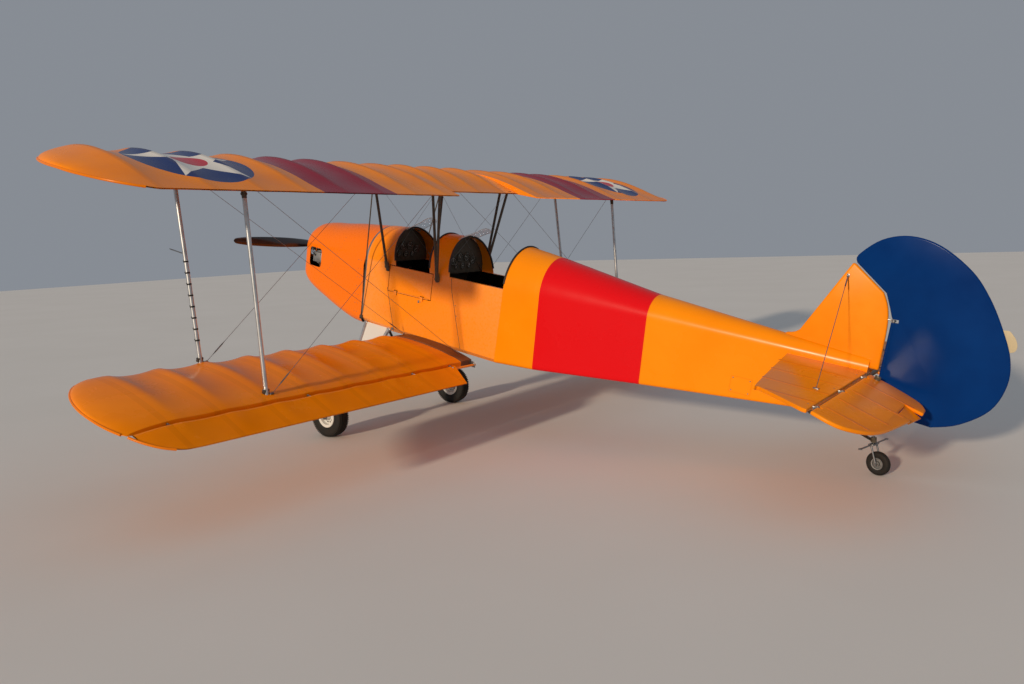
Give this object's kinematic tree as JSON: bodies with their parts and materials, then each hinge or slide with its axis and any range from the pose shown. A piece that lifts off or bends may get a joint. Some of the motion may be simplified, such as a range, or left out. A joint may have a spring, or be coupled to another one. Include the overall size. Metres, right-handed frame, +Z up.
{
  "type": "two-seat open-cockpit biplane",
  "caption": "Tailwheel biplane with fabric-covered wings, two open cockpits, folding access door, and working control surfaces, propeller and wheels.",
  "frame": {"origin": "centre of the bounding box at ground level", "axes": "+X forward along the fuselage, +Y to port, +Z up; the airframe parks 11.9 degrees nose-up"},
  "size_m": [5.7718, 6.4718, 2.1922],
  "materials": {
    "orange_fabric": "satin",
    "orange_metal": "satin",
    "blue_fabric": "satin",
    "cream_sheet": "satin",
    "silver_tube": "satin",
    "black_tube": "satin",
    "steel": "satin",
    "engine_alloy": "matte",
    "white_paint": "satin",
    "wheel_alloy": "satin",
    "propeller_wood": "varnished",
    "trim": "matte",
    "panel_sheet": "matte",
    "tyre": "matte",
    "screen": "clear"
  },
  "bodies": {
    "airframe": {"rear_fuselage": "orange_fabric", "front_fuselage": "orange_fabric", "firewall": "steel", "front_deck": "orange_metal", "mid_deck": "orange_metal", "cowl": "orange_metal", "windscreen_front": "screen", "windscreen_rear": "screen", "engine": "engine_alloy", "upper_wing_centre": "orange_fabric", "seat_front": "trim", "seat_rear": "trim", "panel_front": "panel_sheet", "panel_rear": "panel_sheet", "stick_front": "black_tube", "stick_rear": "black_tube", "gear_brace": "black_tube", "fin": "orange_fabric", "pitot_tube": "steel", "tail_spring": "black_tube", "upper_wing_left": "orange_fabric", "upper_wing_right": "orange_fabric", "lower_wing_left": "orange_fabric", "lower_wing_right": "orange_fabric", "root_filler_left": "orange_fabric", "root_filler_right": "orange_fabric", "front_strut_left": "silver_tube", "front_strut_right": "silver_tube", "rear_strut_left": "silver_tube", "rear_strut_right": "silver_tube", "front_cabane_left": "black_tube", "front_cabane_right": "black_tube", "rear_cabane_left": "black_tube", "rear_cabane_right": "black_tube", "flying_wire_left": "steel", "flying_wire_right": "steel", "landing_wire_left": "steel", "landing_wire_right": "steel", "gear_leg_left": "white_paint", "gear_leg_right": "white_paint", "tailplane_left": "orange_fabric", "tailplane_right": "orange_fabric", "tail_stay_left": "steel", "tail_stay_right": "steel"},
    "wheel_left": {"main_tyre_left": "tyre", "main_wheel_left": "wheel_alloy"},
    "wheel_right": {"main_tyre_right": "tyre", "main_wheel_right": "wheel_alloy"},
    "left_aileron": {"aileron_left": "orange_fabric"},
    "right_aileron": {"aileron_right": "orange_fabric"},
    "elevators": {"elevator": "orange_fabric"},
    "rudder_body": {"rudder": "blue_fabric", "rudder_tab": "cream_sheet"},
    "propeller_body": {"propeller": "propeller_wood"},
    "door": {"access_door": "orange_metal"},
    "fork": {"tail_fork": "steel"},
    "tail_wheel_body": {"tail_tyre": "tyre", "tail_wheel": "wheel_alloy"}
  },
  "joints": [
    {"name": "wheel_left_spin", "type": "hinge", "parent": "airframe", "child": "wheel_left", "pos_m": [1.9166, 0.791, 0.172], "axis": [0, 1, 0], "continuous": true},
    {"name": "wheel_right_spin", "type": "hinge", "parent": "airframe", "child": "wheel_right", "pos_m": [1.9166, -0.791, 0.172], "axis": [0, 1, 0], "continuous": true},
    {"name": "aileron_left_hinge", "type": "hinge", "parent": "airframe", "child": "left_aileron", "pos_m": [0.7731, 0, 0.5804], "axis": [-0.0029, 0.9999, 0.0137], "range_deg": [-16, 24]},
    {"name": "aileron_right_hinge", "type": "hinge", "parent": "airframe", "child": "right_aileron", "pos_m": [0.7731, 0, 0.5804], "axis": [0.0029, 0.9999, -0.0137], "range_deg": [-24, 16]},
    {"name": "elevator_hinge", "type": "hinge", "parent": "airframe", "child": "elevators", "pos_m": [-2.1096, 0, 0.6372], "axis": [0, 1, 0], "range_deg": [0, 39]},
    {"name": "rudder_hinge", "type": "hinge", "parent": "airframe", "child": "rudder_body", "pos_m": [-2.0333, 0, 0.0278], "axis": [-0.2062, 0, 0.9785], "range_deg": [-25, 25]},
    {"name": "propeller_spin", "type": "hinge", "parent": "airframe", "child": "propeller_body", "pos_m": [2.8254, 0, 1.5831], "axis": [0.9785, 0, 0.2062], "continuous": true},
    {"name": "door_hinge", "type": "hinge", "parent": "airframe", "child": "door", "pos_m": [1.20697, 0.298, 1.08675], "axis": [-0.9843, 0, -0.1766], "range_deg": [0, 110]},
    {"name": "tail_wheel_swivel", "type": "hinge", "parent": "airframe", "child": "fork", "pos_m": [-2.1154, 0, 0.2], "axis": [0, 0, 1], "range_deg": [-46.4, 73.6]},
    {"name": "tail_wheel_spin", "type": "hinge", "parent": "fork", "child": "tail_wheel_body", "pos_m": [-2.1436, 0.00682, 0.075], "axis": [0.2351, 0.972, 0], "continuous": true}
  ],
  "couplings": [
    {"joint": "aileron_right_hinge", "follows": "aileron_left_hinge", "ratio": -1}
  ]
}
